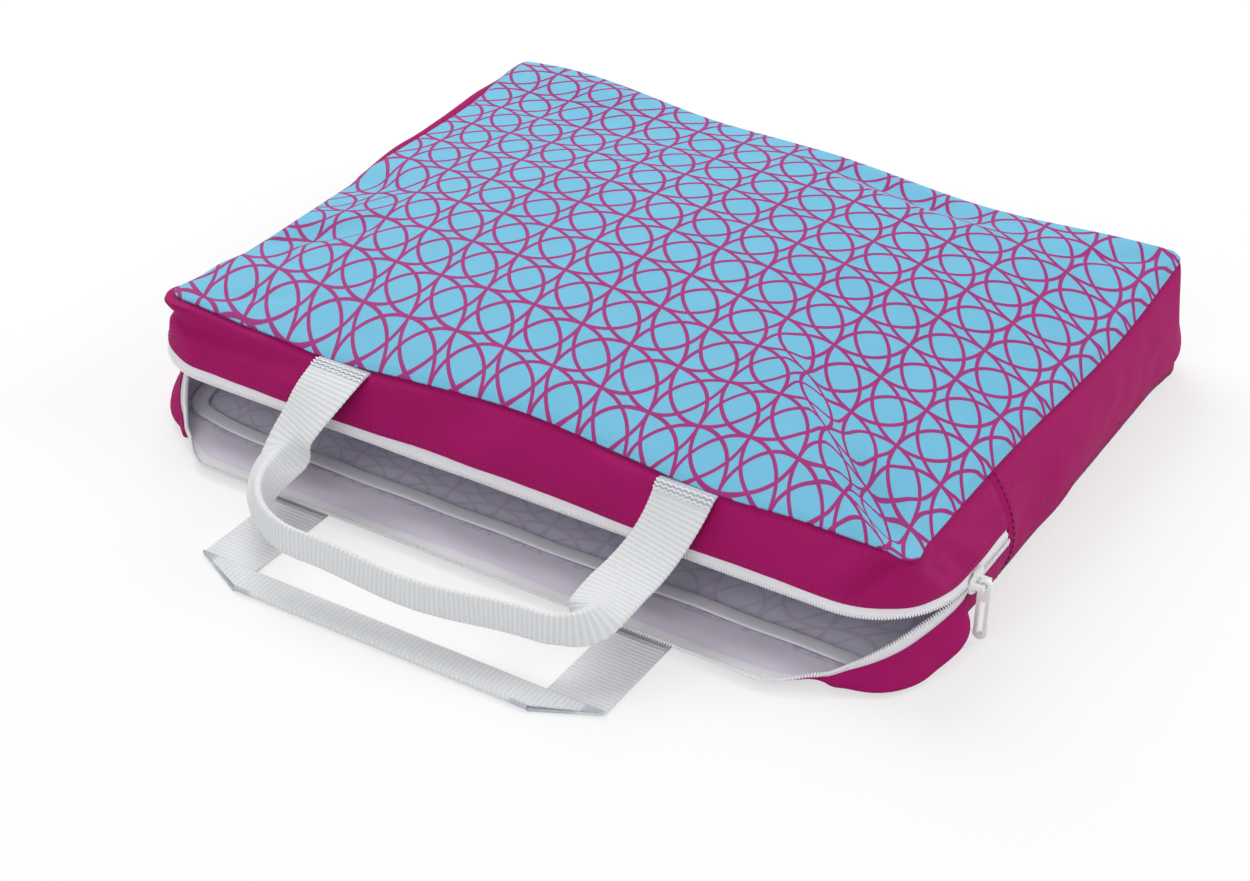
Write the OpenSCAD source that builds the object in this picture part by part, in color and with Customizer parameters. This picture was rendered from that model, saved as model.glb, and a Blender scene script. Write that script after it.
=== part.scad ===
// Soft zip-round laptop sleeve, lying flat with the front of its zip run open.
// Origin at the centre of the base panel's underside, +Z up, zip mouth towards -Y.

/* [Panels] */
// Width of the base panel, along the zip mouth
base_w = 386; // [350:1:430]
// Depth of the base panel, from the zip mouth to the back
base_d = 304; // [270:1:350]
// Height of the top seam above the floor
seam_z = 57; // [50:0.5:66]
// How far the top seam sits inside the base panel all round
top_inset = 5; // [1:0.5:9]
// How far the top panel sits back from over the base panel
top_back = 6.5; // [0:0.5:9]
// Rise of the top panel's crown above its seam
crown_h = 15; // [6:0.5:18]
// Width of the flat seam land round the top panel
land_w = 5; // [3:0.5:8]
// Thickness of the coated polyester cloth
cloth_t = 1.2; // [0.8:0.1:1.6]
// Corner radius of the base panel at its seam
corner_r = 16; // [10:1:24]
// Corner radius of the top panel at its seam
top_r = 9; // [7:1:20]

/* [Walls] */
// Outward bow of the side walls at half height
side_bow = 10; // [4:0.5:14]
// Outward bow of the front and back walls at half height
end_bow = 7; // [3:0.5:10]
// Extra corner radius of the walls at half height
corner_swell = 29; // [14:1:36]
// Distance from the base panel's front edge back to the side seams
side_seam = 84; // [78:1:110]

/* [Zip] */
// Half of the closed zip's visible width, from the centre line to the cloth's edge
zip_half = 6; // [6:0.5:9]
// Gap between the two rows of teeth when they lie side by side
row_gap = 1.6; // [1.4:0.1:2.4]
// Length of one tooth, with the bead it stands on
tooth_len = 2.2; // [1.6:0.1:2.8]
// Thickness of the rows of teeth
tooth_t = 2; // [1.4:0.1:2.4]
// Distance from one tooth to the next
tooth_pitch = 1.8; // [1.6:0.1:3]
// Thickness of the zip's woven tape
tape_t = 0.7; // [0.5:0.1:1]
// How far the tape runs on behind the strip's edge
tape_lap = 4; // [2:0.5:6]
// How far the open lower lip's straight middle stops short of the base's sides
lip_cut = 53; // [46:1:64]
// Length of the turn where the lower lip leaves the floor
lip_turn = 17; // [10:1:24]
// Slope of the open lower lip above the floor, in degrees
lip_slope = 2.5; // [2:0.5:8]

/* [Slider] */
// Distance from the side seam forward to the slider's centre
slider_back = 36; // [34:0.5:42]
// Length of the slider along the zip
slider_l = 11; // [9:0.5:13]
// Width of the slider across the zip
slider_w = 9.6; // [9:0.2:11.2]
// Thickness of each of the slider's two plates
plate_t = 1.3; // [1:0.1:1.8]
// Thickness of the post between the slider's plates
post_t = 1; // [0.6:0.1:1]
// Radius of the bridge's round bar
bar_r = 0.9; // [0.7:0.1:1.2]
// Length of the pull tab from the bridge bar to its free end
pull_l = 27; // [20:1:34]
// Width of the pull tab
pull_w = 6; // [5.6:0.2:8]
// Thickness of the pull tab
pull_t = 1.8; // [1.2:0.1:2.4]

/* [Handles] */
// Width of the handles' webbing
web_w = 28; // [24:1:34]
// Thickness of the handles' webbing
web_t = 1.4; // [1:0.1:1.8]
// Distance between the centres of a handle's two roots
root_gap = 174; // [150:1:200]
// Distance from the top seam's edge out to the upper handle's roots
root_out = 1.5; // [1.2:0.1:3]
// How far the upper handle's long run stands out from its seam
upper_reach = 78; // [70:1:100]
// Drop of the upper handle's long run below its seam
upper_drop = 28; // [20:1:34]
// Radius of the upper handle's two bends
bend_r = 24; // [14:1:30]
// How far the upper handle's bends lie in from its roots
bend_in = 0.5; // [0:0.5:6]
// Gap between the two layers where the webbing is folded in half
fold_gap = 0.6; // [0.4:0.1:1.2]
// How far the lower handle's long run lies out from its seam
lower_reach = 82; // [70:1:100]

/* [Bindings] */
// Width of the binding tape over the raw seam edges
bind_w = 9; // [6:0.5:12]
// Thickness of the bound seam edge
bind_t = 2; // [1.6:0.1:2.6]

/* [Hidden] */
$fn = 48;

// Gap between pieces that move against each other
clear = 0.4;
// Gap between a zip tape and the strip it is sewn behind
sewn_gap = 0.1;
// The same gap at the open lip's corners, where the cloth curves both ways
corner_gap = 0.45;
// How far a row of teeth is sewn over its tape's edge
tooth_lap = 0.4;
// Depth of the bead that carries the teeth
bead_w = 0.9;
// Number of steps round a wall's corner
arc_steps = 8;
// Number of steps up a wall
wall_steps = 8;
// Number of steps round the open lip's corner
lip_steps = 16;

cloth_colour = "mediumvioletred";
print_colour = "mediumturquoise";
white_colour = "white";

half_w = base_w / 2;
half_d = base_d / 2;
mid_z = (cloth_t + seam_z) / 2;
seam_y = side_seam - half_d;
slider_y = seam_y - slider_back;
nose_y = slider_y - slider_l / 2;
tip_z = mid_z + row_gap / 2;

// Heights on the walls run from 0 at the base seam to 1 at the top seam
function wall_x(h) = half_w - top_inset * h + side_bow * sin(180 * h);
function wall_y(h) = half_d - top_inset * h + end_bow * sin(180 * h);
function wall_r(h) = corner_r + (top_r - corner_r) * h + corner_swell * sin(180 * h);
function wall_z(h) = cloth_t + (seam_z - cloth_t) * h;
function height_of(z) = (z - cloth_t) / (seam_z - cloth_t);
function lean(h) = top_back * h * h * h;

// A station is a place along the wall: it gives the point at a height and a depth under the outer face
function flank(y) = function(h, depth) [wall_x(h) - depth, y, wall_z(h)];
function corner(turn, side) = function(h, depth)
    let(r = wall_r(h) - depth, x = wall_x(h) - depth - r, y = wall_y(h) - depth - r)
    [x + r * cos(turn), side * (y + r * sin(turn)) + lean(h), wall_z(h)];
function mirrored(at) = function(h, depth) let(p = at(h, depth)) [-p.x, p.y, p.z];
function backwards(list) = [for (i = [len(list) - 1:-1:0]) list[i]];
function both_sides(right) = concat(right, [for (at = backwards(right)) mirrored(at)]);
function corner_run(side) = [for (i = [0:arc_steps]) corner(90 * i / arc_steps, side)];

front_run = both_sides(concat([flank(seam_y)], corner_run(-1)));
back_run = backwards(both_sides(concat([flank(seam_y)], corner_run(1))));

// The section of a strip at one station: up its outer face and down its inner face
function section(at, low, high, outer, inner, steps) = let(rise = (high - low) / steps)
    concat([for (i = [0:steps]) at(low + rise * i, outer)],
           [for (i = [steps:-1:0]) at(low + rise * i, inner)]);

// A closed solid through a list of sections of equal length
module skin(rings) {
    m = len(rings[0]);
    n = len(rings);
    sides = [for (i = [0:n - 2]) for (j = [0:m - 1])
        let(a = i * m + j, b = i * m + (j + 1) % m)
        each [[a, a + m, b], [b, a + m, b + m]]];
    first = [for (j = [0:m / 2 - 2])
        each [[j, j + 1, m - 2 - j], [j, m - 2 - j, m - 1 - j]]];
    last = [for (f = first) [f[0], f[2], f[1]] + (n - 1) * m * [1, 1, 1]];
    polyhedron([for (ring = rings) each ring], concat(sides, first, last), convexity = 8);
}

module wall_strip(run, low, high, outer, inner, steps) {
    skin([for (at = run) section(at, low, high, outer, inner, steps)]);
}

// Outline of a panel at a wall height, drawn in by a margin
outline_side_points = 4;
function quarter(h, margin, sx, sy) = let(
    r = max(wall_r(h) - margin, 2), x = wall_x(h) - margin - r, y = wall_y(h) - margin - r,
    arc = [for (i = [0:arc_steps]) let(q = 90 * i / arc_steps)
        [sx * (x + r * cos(q)), sy * (y + r * sin(q))]])
    sx * sy > 0 ? arc : backwards(arc);
function side_points(a, b) = [for (i = [1:outline_side_points])
    a + (b - a) * i / (outline_side_points + 1)];
function outline(h, margin) = let(
    q = [quarter(h, margin, 1, 1), quarter(h, margin, -1, 1),
         quarter(h, margin, -1, -1), quarter(h, margin, 1, -1)])
    [for (i = [0:3]) each concat(q[i], side_points(q[i][arc_steps], q[(i + 1) % 4][0]))];

// Crown of the top panel: flat along the seam land and fullest in the middle
crown_fullness = 0.62;
crown_x = wall_x(1) - land_w;
crown_y = wall_y(1) - land_w;
function dome(share) = max(0, 1 - share * share);
function crown(p) = crown_h * pow(dome(p.x / crown_x) * dome(p.y / crown_y), crown_fullness);
crown_rings = [0.96, 0.88, 0.74, 0.55, 0.3];

module base_panel() {
    color(cloth_colour) linear_extrude(cloth_t) polygon(outline(0, 0));
}

module top_panel() {
    land = outline(1, land_w);
    flat = [for (p = outline(1, 0)) [p.x, p.y, 0]];
    edge = [for (p = land) [p.x, p.y, 0]];
    domed = [for (s = crown_rings) [for (p = land) let(c = s * p) [c.x, c.y, crown(c)]]];
    rings = concat([flat, edge], domed);
    m = len(flat);
    n = len(rings);
    under = [for (ring = rings) each [for (p = ring) p + [0, 0, seam_z]]];
    over = [for (p = under) p + [0, 0, cloth_t]];
    peak = [0, 0, seam_z + crown_h];
    up = n * m;
    low_peak = 2 * n * m;
    bands = [for (i = [0:n - 2]) for (j = [0:m - 1])
        let(a = i * m + j, b = i * m + (j + 1) % m)
        each [[a, a + m, b], [b, a + m, b + m],
              [up + a, up + b, up + a + m], [up + b, up + b + m, up + a + m]]];
    rim = [for (j = [0:m - 1]) let(k = (j + 1) % m)
        each [[j, k, up + k], [j, up + k, up + j]]];
    inmost = (n - 1) * m;
    caps = [for (j = [0:m - 1]) let(a = inmost + j, b = inmost + (j + 1) % m)
        each [[a, low_peak, b], [up + a, up + b, low_peak + 1]]];
    color(print_colour) translate([0, top_back, 0])
        polyhedron(concat(under, over, [peak, peak + [0, 0, cloth_t]]),
            [for (f = concat(bands, rim, caps)) [f[0], f[2], f[1]]], convexity = 4);
}

module main_gusset() {
    color(cloth_colour) wall_strip(back_run, 0, 1, 0, cloth_t, wall_steps);
}

// Upper half of the zip wall: the strip, the tape behind its edge and the row of teeth
tape_depth = cloth_t + sewn_gap;
tooth_depth = tape_depth + tape_t / 2 - tooth_t / 2;
tape_edge = tooth_len - tooth_lap;

module upper_zip_strip() {
    color(cloth_colour)
        wall_strip(front_run, height_of(mid_z + zip_half), 1, 0, cloth_t, wall_steps);
}

module upper_zip_tape() {
    color(white_colour)
        wall_strip(front_run, height_of(tip_z + tape_edge), height_of(mid_z + zip_half + tape_lap),
            tape_depth, tape_depth + tape_t, 3);
}

// A comb of square teeth along X on a bead, tips towards +Y
module comb(length, shift) {
    count = floor((length - 2 * tooth_pitch) / tooth_pitch);
    tooth_w = tooth_pitch / 2;
    start = -count * tooth_pitch / 2 + shift * tooth_pitch;
    teeth = [for (i = [0:count - 1]) let(x = start + i * tooth_pitch)
        each [[x, bead_w], [x, tooth_len], [x + tooth_w, tooth_len], [x + tooth_w, bead_w]]];
    linear_extrude(tooth_t)
        polygon(concat([[-length / 2, 0], [-length / 2, bead_w]], teeth,
                       [[length / 2, bead_w], [length / 2, 0]]));
}

// Places along half of the closed zip, measured from the side seam towards the front
zip_r = wall_r(0.5);
flank_run = seam_y + wall_y(0.5) - zip_r - lean(0.5);
half_run = flank_run + zip_r * PI / 2;
front_half = wall_x(0.5) - zip_r;
function zip_place(d) = d < flank_run
    ? flank(seam_y - d)
    : corner((d - flank_run) / zip_r * 180 / PI, -1);

module upper_teeth_end() {
    count = 2 * round(half_run / tooth_pitch);
    root = height_of(tip_z + tooth_len);
    tip = height_of(tip_z);
    gap = height_of(tip_z + tooth_len - bead_w);
    skin([for (i = [0:count]) section(zip_place(half_run * i / count), i % 2 == 0 ? gap : tip, root,
        tooth_depth, tooth_depth + tooth_t, 1)]);
}

module upper_zip_teeth() {
    middle = height_of(tip_z + tooth_len / 2);
    front_y = lean(middle) - wall_y(middle);
    color(white_colour) {
        upper_teeth_end();
        mirror([1, 0, 0]) upper_teeth_end();
        translate([0, front_y + tooth_depth, tip_z + tooth_len])
            rotate([-90, 0, 0]) comb(2 * (front_half - sewn_gap), 0.25);
    }
}

// Lower half of the zip wall, open: its middle lies flat in front of the base and hinges at the base seam
cut_x = half_w - lip_cut;
low_tip = height_of(mid_z - row_gap / 2);
hinge_y = -half_d - clear;
hinge_z = web_t + clear;
shut_tip = [lean(low_tip) - wall_y(low_tip), wall_z(low_tip)];
lip_len = norm(shut_tip - [hinge_y, hinge_z]);
strip_len = lip_len - zip_half + row_gap / 2;
lip_half = cut_x - clear;

module on_lip() {
    translate([0, hinge_y, hinge_z]) rotate([-lip_slope, 0, 0]) mirror([0, 1, 0]) children();
}

module lower_zip_strip() {
    color(cloth_colour) on_lip()
        translate([-lip_half, 0, 0]) cube([2 * lip_half, strip_len, cloth_t]);
}

module lower_zip_tape() {
    color(white_colour) on_lip()
        translate([-lip_half, strip_len - tape_lap, tape_depth])
            cube([2 * lip_half, lip_len - tape_edge - strip_len + tape_lap, tape_t]);
}

module lower_zip_teeth() {
    color(white_colour) on_lip()
        translate([0, lip_len - tooth_len, tooth_depth]) comb(2 * lip_half, -0.25);
}

// The lower lip's corners: a slack strip between the base seam and the tape, which runs taut to the slider
base_front = half_w - corner_r - cut_x;
base_arc = corner_r * PI / 2;
base_flank = nose_y + half_d - corner_r;
base_run = base_front + base_arc + base_flank;
function base_turn(d) = min(90, max(0, (d - base_front) / corner_r * 180 / PI));
function base_place(d) = let(q = base_turn(d))
    [cut_x + min(d, base_front) + corner_r * sin(q),
     -half_d + corner_r * (1 - cos(q)) + max(0, d - base_front - base_arc), cloth_t];
function base_out(d) = let(q = base_turn(d)) [sin(q), -cos(q), 0];
function base_along(d) = let(q = base_turn(d)) [cos(q), sin(q), 0];

lip_end = [cut_x, hinge_y - lip_len * cos(lip_slope), hinge_z + lip_len * sin(lip_slope)];
lip_bend = lip_end + [lip_turn, 0, 0];
lip_nose = [wall_x(low_tip), nose_y, wall_z(low_tip)];
function bezier(u) = (1 - u) * (1 - u) * lip_end + 2 * u * (1 - u) * lip_bend + u * u * lip_nose;
bezier_parts = 40;
function bezier_length(n) = n == 0 ? 0
    : bezier_length(n - 1) + norm(bezier(n / bezier_parts) - bezier((n - 1) / bezier_parts));
bezier_table = [for (n = [0:bezier_parts]) [bezier_length(n), n / bezier_parts]];
edge_run = bezier_length(bezier_parts);
function edge_place(share) = bezier(lookup(share * edge_run, bezier_table));

// Width of the lower strip with its half of the zip, measured up the closed flank
profile_parts = 12;
function profile_length(n) = n == 0 ? 0
    : let(a = low_tip * (n - 1) / profile_parts, b = low_tip * n / profile_parts)
      profile_length(n - 1) + norm([wall_x(b) - wall_x(a), wall_z(b) - wall_z(a)]);
lip_width = profile_length(profile_parts);

// Slack cloth bows out by the height of the arch that keeps its width, or less where it would crease
function arch(chord) = sqrt(max(0, (lip_width - chord) * chord * 3 / 8));
corner_sag = 0.8;
least_bend = 2 * cloth_t;
function crease_limit(slope) = slope * slope / (8 * least_bend);
function lip_profile(foot, edge, out, sag, v) = let(
    rise = edge - foot,
    bow = min(arch(norm(rise)), crease_limit(rise.z * (1 + sag))))
    [foot.x + rise.x * v + out.x * bow * 4 * v * (1 - v),
     foot.y + rise.y * v + out.y * bow * 4 * v * (1 - v),
     foot.z + rise.z * pow(v, 1 + sag)];
function unit(v) = v / norm(v);
slope_step = 0.02;
function lip_station(foot, edge, out, along, sag) = function(v, depth) let(
    rise = lip_profile(foot, edge, out, sag, v + slope_step)
        - lip_profile(foot, edge, out, sag, max(0, v - slope_step)),
    p = lip_profile(foot, edge, out, sag, v) - unit(cross(along, rise)) * depth)
    [p.x, p.y, max(p.z, cloth_t)];
function lip_corner(share) = let(d = share * base_run)
    lip_station(base_place(d), edge_place(share), base_out(d), base_along(d), corner_sag * sin(180 * share));
function lip_flank(y) =
    lip_station([half_w, y, cloth_t], [lip_nose.x, y, lip_nose.z], [1, 0, 0], [0, 1, 0], 0);
lip_run = concat([lip_flank(seam_y)], [for (i = [0:lip_steps]) lip_corner(1 - i / lip_steps)]);

strip_share = strip_len / lip_len;
lap_share = (strip_len - tape_lap) / lip_len;
edge_share = (lip_len - tape_edge) / lip_len;
root_share = (lip_len - tooth_len) / lip_len;
gap_share = (lip_len - tooth_len + bead_w) / lip_len;

module lower_strip_corner() {
    color(cloth_colour) wall_strip(lip_run, 0, strip_share, 0, cloth_t, wall_steps);
}

module lower_tape_corner() {
    depth = cloth_t + corner_gap;
    color(white_colour) wall_strip(lip_run, lap_share, edge_share, depth, depth + tape_t, 4);
}

module lower_teeth_corner() {
    flank_len = seam_y - nose_y;
    flank_count = 2 * round(flank_len / tooth_pitch);
    corner_count = 2 * round(edge_run / tooth_pitch);
    run = concat([for (i = [0:flank_count - 1]) lip_flank(seam_y - flank_len * i / flank_count)],
                 [for (i = [0:corner_count]) lip_corner(1 - i / corner_count)]);
    color(white_colour)
        skin([for (i = [0:len(run) - 1]) section(run[i], root_share, i % 2 == 0 ? 1 : gap_share,
            tooth_depth, tooth_depth + tooth_t, 1)]);
}

module lower_strip_corner_right() { lower_strip_corner(); }
module lower_tape_corner_right() { lower_tape_corner(); }
module lower_teeth_corner_right() { lower_teeth_corner(); }
module lower_strip_corner_left() { mirror([1, 0, 0]) lower_strip_corner(); }
module lower_tape_corner_left() { mirror([1, 0, 0]) lower_tape_corner(); }
module lower_teeth_corner_left() { mirror([1, 0, 0]) lower_teeth_corner(); }

// The slider rides on the right flank: two plates joined by a post, with rims that keep the tapes in
wall_fall = wall_x(0.5) - wall_x(height_of(mid_z + slider_w / 2));
outer_x = wall_x(0.5) - tooth_depth + clear;
inner_x = wall_x(0.5) - tooth_depth - tooth_t - wall_fall - clear;
rim_t = 0.9;
tape_room = tape_t + wall_fall + 2 * clear;
slot_x = wall_x(0.5) - tape_depth + clear;
nose_w = slider_w * 0.62;
shoulder = slider_l * 0.4;

module slider_outline() {
    polygon([[-slider_l / 2, -nose_w / 2], [-slider_l / 2, nose_w / 2],
             [shoulder - slider_l / 2, slider_w / 2], [slider_l / 2, slider_w / 2],
             [slider_l / 2, -slider_w / 2], [shoulder - slider_l / 2, -slider_w / 2]]);
}

// Stands a drawing in (along the zip, across the zip) on the flank, raised outwards from a depth
module on_flank(depth_x, thickness) {
    translate([depth_x, slider_y, mid_z]) rotate([90, 0, 90]) linear_extrude(thickness) children();
}

module slider_rims(from_x, height) {
    rim_l = slider_l - shoulder;
    for (side = [-1, 1])
        on_flank(from_x, height)
            translate([shoulder - slider_l / 2, side > 0 ? slider_w / 2 - rim_t : -slider_w / 2])
                square([rim_l, rim_t]);
}

module zip_slider() {
    post_l = slider_l * 0.24;
    color(white_colour) union() {
        on_flank(outer_x, plate_t) slider_outline();
        on_flank(inner_x - plate_t, plate_t) slider_outline();
        on_flank(inner_x - plate_t / 2, outer_x - inner_x + plate_t)
            translate([-slider_l / 2, -post_t / 2]) square([post_l, post_t]);
        slider_rims(slot_x, outer_x - slot_x + plate_t / 2);
        slider_rims(inner_x - plate_t / 2, max(0.2, slot_x - tape_room - inner_x) + plate_t / 2);
    }
}

// The bridge: a round bar along the zip on two feet, which the pull tab's eye turns on
eye_hole = bar_r + clear;
eye_r = pull_w / 2;
bar_x = outer_x + plate_t + eye_r + clear;
foot_l = 1.8;
foot_r = bar_r * 1.2;
bridge_l = slider_l * 0.78;

module slider_bridge() {
    color(white_colour) union() {
        translate([bar_x, slider_y - bridge_l / 2, mid_z])
            rotate([-90, 0, 0]) cylinder(r = bar_r, h = bridge_l);
        for (end = [-1, 1])
            translate([outer_x + plate_t,
                       slider_y + end * (bridge_l - foot_l) / 2 - foot_l / 2,
                       mid_z - foot_r])
                cube([bar_x - outer_x - plate_t + foot_r, foot_l, 2 * foot_r]);
    }
}

// The pull tab hangs from the bar, flat across the zip, with an eye at the top and a long slot below
module pull_tab() {
    neck = pull_w * 0.94;
    end_r = pull_w / 2;
    slot_w = pull_w * 0.42;
    slot_top = pull_l * 0.3;
    slot_end = pull_l - end_r;
    color(white_colour)
        translate([bar_x, slider_y + pull_t / 2, mid_z]) rotate([90, 0, 0]) linear_extrude(pull_t)
            difference() {
                union() {
                    circle(r = eye_r);
                    translate([-neck / 2, -slot_end]) square([neck, slot_end]);
                    translate([0, -slot_end]) circle(r = end_r);
                }
                circle(r = eye_hole);
                translate([-slot_w / 2, -slot_end]) square([slot_w, slot_end - slot_top]);
            }
}

// The upper handle: webbing that leaves the top seam flat and is folded in half along its long run
root_x = root_gap / 2;
upper_root = [root_x, top_back - wall_y(1) - root_out - web_t, seam_z + cloth_t / 2];
run_y = upper_root.y - upper_reach;
run_z = upper_root.z - upper_drop;
bend_x = root_x - bend_in;
leg_end = [bend_x, run_y + bend_r, run_z];
leg_way = leg_end - upper_root;
leg_bows = [upper_root + [0, leg_way.y / 3, leg_way.z * 0.4],
            leg_end - [0, leg_way.y / 3, leg_way.z * 0.15]];
leg_steps = 12;
bend_steps = 10;
function leg(u) = pow(1 - u, 3) * upper_root + 3 * u * pow(1 - u, 2) * leg_bows[0]
    + 3 * u * u * (1 - u) * leg_bows[1] + u * u * u * leg_end;
function bend(q) = [bend_x - bend_r * (1 - cos(q)), run_y + bend_r * (1 - sin(q)), run_z];
half_path = concat([for (i = [0:leg_steps]) leg(i / leg_steps)],
                   [for (i = [1:bend_steps]) bend(90 * i / bend_steps)]);

// The fold: both halves of the webbing turn down from its middle line, more and more along the leg
fold_start = 5;
fold_end = leg_steps + bend_steps * 0.6;
least_fold = 0.5;
full_fold = 88;
fold_arc = (web_t + fold_gap) / 2 * PI / 2;
web_places = [-web_w / 2, -fold_arc, -fold_arc / 2, 0, fold_arc / 2, fold_arc, web_w / 2];
function smooth(t) = t * t * (3 - 2 * t);
function fold_turn(i) = let(share = min(1, max(0, (i - fold_start) / (fold_end - fold_start))))
    max(least_fold, full_fold * smooth(share));
function fold_slope(s, turn) = sign(s) * min(1, abs(s) / fold_arc) * turn;
function fold_normal(s, turn) = let(slope = fold_slope(s, turn)) [sin(slope), cos(slope)];
function fold_place(s, turn) = let(
    r = fold_arc / (turn * PI / 180),
    slope = fold_slope(s, turn),
    rest = sign(s) * max(0, abs(s) - fold_arc))
    [r * sin(slope) + rest * cos(turn), r * (cos(slope) - 1) - abs(rest) * sin(turn)];

// The section of the webbing at one place of the right half
function web_section(i) = let(
    last = len(half_path) - 1,
    along = i == last ? [-1, 0, 0] : unit(half_path[i + 1] - half_path[max(0, i - 1)]),
    side = unit(cross(along, [0, 0, 1])),
    up = cross(side, along),
    turn = fold_turn(i),
    ring = concat(
        [for (s = web_places) fold_place(s, turn) + fold_normal(s, turn) * web_t / 2],
        [for (s = backwards(web_places)) fold_place(s, turn) - fold_normal(s, turn) * web_t / 2]))
    [for (p = ring) half_path[i] + p.x * side + p.y * up];

module upper_handle() {
    right = [for (i = [0:len(half_path) - 1]) web_section(i)];
    left = [for (ring = backwards(right)) [for (p = ring) [-p.x, p.y, p.z]]];
    color(white_colour) skin(concat(right, left));
}

// The lower handle: the same webbing pressed flat on the floor, its long run folded in half
module lower_handle() {
    root_y = -half_d - clear;
    far = root_y - lower_reach - web_w / 4;
    near = far + web_w / 2;
    outer = root_x + web_w / 2;
    inner = root_x - web_w / 2;
    color(white_colour) union() {
        linear_extrude(web_t)
            polygon([[outer, root_y], [outer, near], [inner, far], [-inner, far],
                     [-outer, near], [-outer, root_y], [-inner, root_y], [-inner, near],
                     [inner, near], [inner, root_y]]);
        linear_extrude(2 * web_t)
            polygon([[-outer, near], [outer, near], [inner, far], [-inner, far]]);
    }
}

// Bindings over the raw edges inside, against the panels and the gusset
module panel_binding(h) {
    linear_extrude(bind_t) difference() {
        polygon(outline(h, cloth_t + clear));
        polygon(outline(h, cloth_t + clear + bind_w));
    }
}

module top_seam_binding() {
    color(white_colour) translate([0, top_back, seam_z - bind_t]) panel_binding(1);
}

module base_seam_binding() {
    color(white_colour) translate([0, 0, cloth_t]) panel_binding(0);
}

module side_seam_binding() {
    low = height_of(cloth_t + bind_t + clear);
    high = height_of(seam_z - bind_t - clear);
    color(white_colour)
        wall_strip([flank(seam_y + bind_w), flank(seam_y)], low, high,
            cloth_t + sewn_gap, cloth_t + bind_t, wall_steps);
}

module side_seam_binding_right() { side_seam_binding(); }
module side_seam_binding_left() { mirror([1, 0, 0]) side_seam_binding(); }

base_panel();
top_panel();
main_gusset();
upper_zip_strip();
upper_zip_tape();
upper_zip_teeth();
lower_zip_strip();
lower_zip_tape();
lower_zip_teeth();
lower_strip_corner_right();
lower_tape_corner_right();
lower_teeth_corner_right();
lower_strip_corner_left();
lower_tape_corner_left();
lower_teeth_corner_left();
zip_slider();
slider_bridge();
pull_tab();
upper_handle();
lower_handle();
top_seam_binding();
base_seam_binding();
side_seam_binding_right();
side_seam_binding_left();
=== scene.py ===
# Looks of a soft zip-round laptop sleeve that lies flat with the front of its zip open
import math

import bpy
import numpy as np
from mathutils import Matrix, Vector, noise


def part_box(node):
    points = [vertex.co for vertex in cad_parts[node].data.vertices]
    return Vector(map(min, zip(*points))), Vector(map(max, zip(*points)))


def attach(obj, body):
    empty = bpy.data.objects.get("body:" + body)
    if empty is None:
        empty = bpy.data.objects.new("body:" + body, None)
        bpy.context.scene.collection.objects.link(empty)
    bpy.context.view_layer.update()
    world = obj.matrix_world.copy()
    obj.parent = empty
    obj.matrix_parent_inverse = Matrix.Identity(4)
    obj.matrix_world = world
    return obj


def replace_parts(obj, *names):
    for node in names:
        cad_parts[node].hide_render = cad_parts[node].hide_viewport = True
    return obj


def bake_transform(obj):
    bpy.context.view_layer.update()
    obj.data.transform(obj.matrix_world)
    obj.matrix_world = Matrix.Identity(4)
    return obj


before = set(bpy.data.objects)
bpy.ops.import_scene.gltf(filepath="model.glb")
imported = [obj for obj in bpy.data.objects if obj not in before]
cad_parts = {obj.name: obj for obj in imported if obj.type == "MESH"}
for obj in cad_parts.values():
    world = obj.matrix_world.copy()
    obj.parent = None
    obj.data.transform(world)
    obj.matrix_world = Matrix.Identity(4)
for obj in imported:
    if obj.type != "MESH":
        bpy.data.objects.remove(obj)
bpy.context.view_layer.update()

# Lengths are in millimetres in the part's own frame, and become metres when a mesh is made
MM = 0.001


def box_of(node):
    low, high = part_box(node)
    return np.array(low) / MM, np.array(high) / MM


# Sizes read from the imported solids
HALF_W, HALF_D, CLOTH = box_of("base_panel")[1]
SEAM_Z = box_of("main_gusset")[1][2]
SIDE_SEAM_Y = box_of("main_gusset")[0][1]
TOP_INSET = HALF_W - box_of("top_panel")[1][0]
TOP_BACK = (box_of("top_panel")[0][1] + box_of("top_panel")[1][1]) / 2
CROWN = box_of("top_panel")[1][2] - SEAM_Z - CLOTH
SLIDER_NOSE_Y = box_of("zip_slider")[0][1]
WEB_T = box_of("lower_handle")[1][2] / 2

# Form of the walls, as in the solids
CORNER_R = 16.0
TOP_R = 9.0
CORNER_SWELL = 29.0
SIDE_BOW = 10.0
END_BOW = 7.0
CROWN_FULLNESS = 0.8
MID_Z = (CLOTH + SEAM_Z) / 2

# Thickness of the cloth that shows at an edge, and how far the walls tuck in under the top seam
SHEET = 0.7
SEAM_TUCK = 1.1

# The zip
ZIP_HALF = 6.0
LOWER_BAND = 3.2
COIL_PITCH = 1.25
COIL_HALF = 0.8
COIL_DEEP = 0.5
COIL_WIRE = 0.42
ROW_HALF_GAP = 0.8
TAPE_LAP = 4.0
TAPE_T = 0.5
TAPE_BEHIND = SHEET + 0.15
COIL_BEHIND = SHEET + 0.4

# The open lower lip, with each corner's turn of the edge, push beside the slider and push at the floor
CUT_X = HALF_W - 53
HINGE = np.array([0.0, -HALF_D - 0.4, WEB_T + 0.4])
LIP_SLOPE = math.radians(2.5)
LEAST_BEND = 2.4
LIP_SAG = 0.8
RIGHT_CORNER = (27.0, 4.5, 2.5)
LEFT_CORNER = (17.0, -5.0, 0.0)

# The handles
WEB_W = 28.0
ROOT_X = 87.0
RIB_PITCH = 2.2
FULL_FOLD = math.radians(88)
FOLD_GAP = 0.6
ROOT_OUT = 1.5
ROOT_SUNK = 2.2
ROOT_ROWS = (4.3, 6.2, 8.1)
LOWER_REACH = 82.0

# The printed lattice: its pitch, and the column and row at the panel's middle
PRINT_PITCH = (26.74, 28.99)
PRINT_MIDDLE = (3.5, 0.45)

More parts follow.
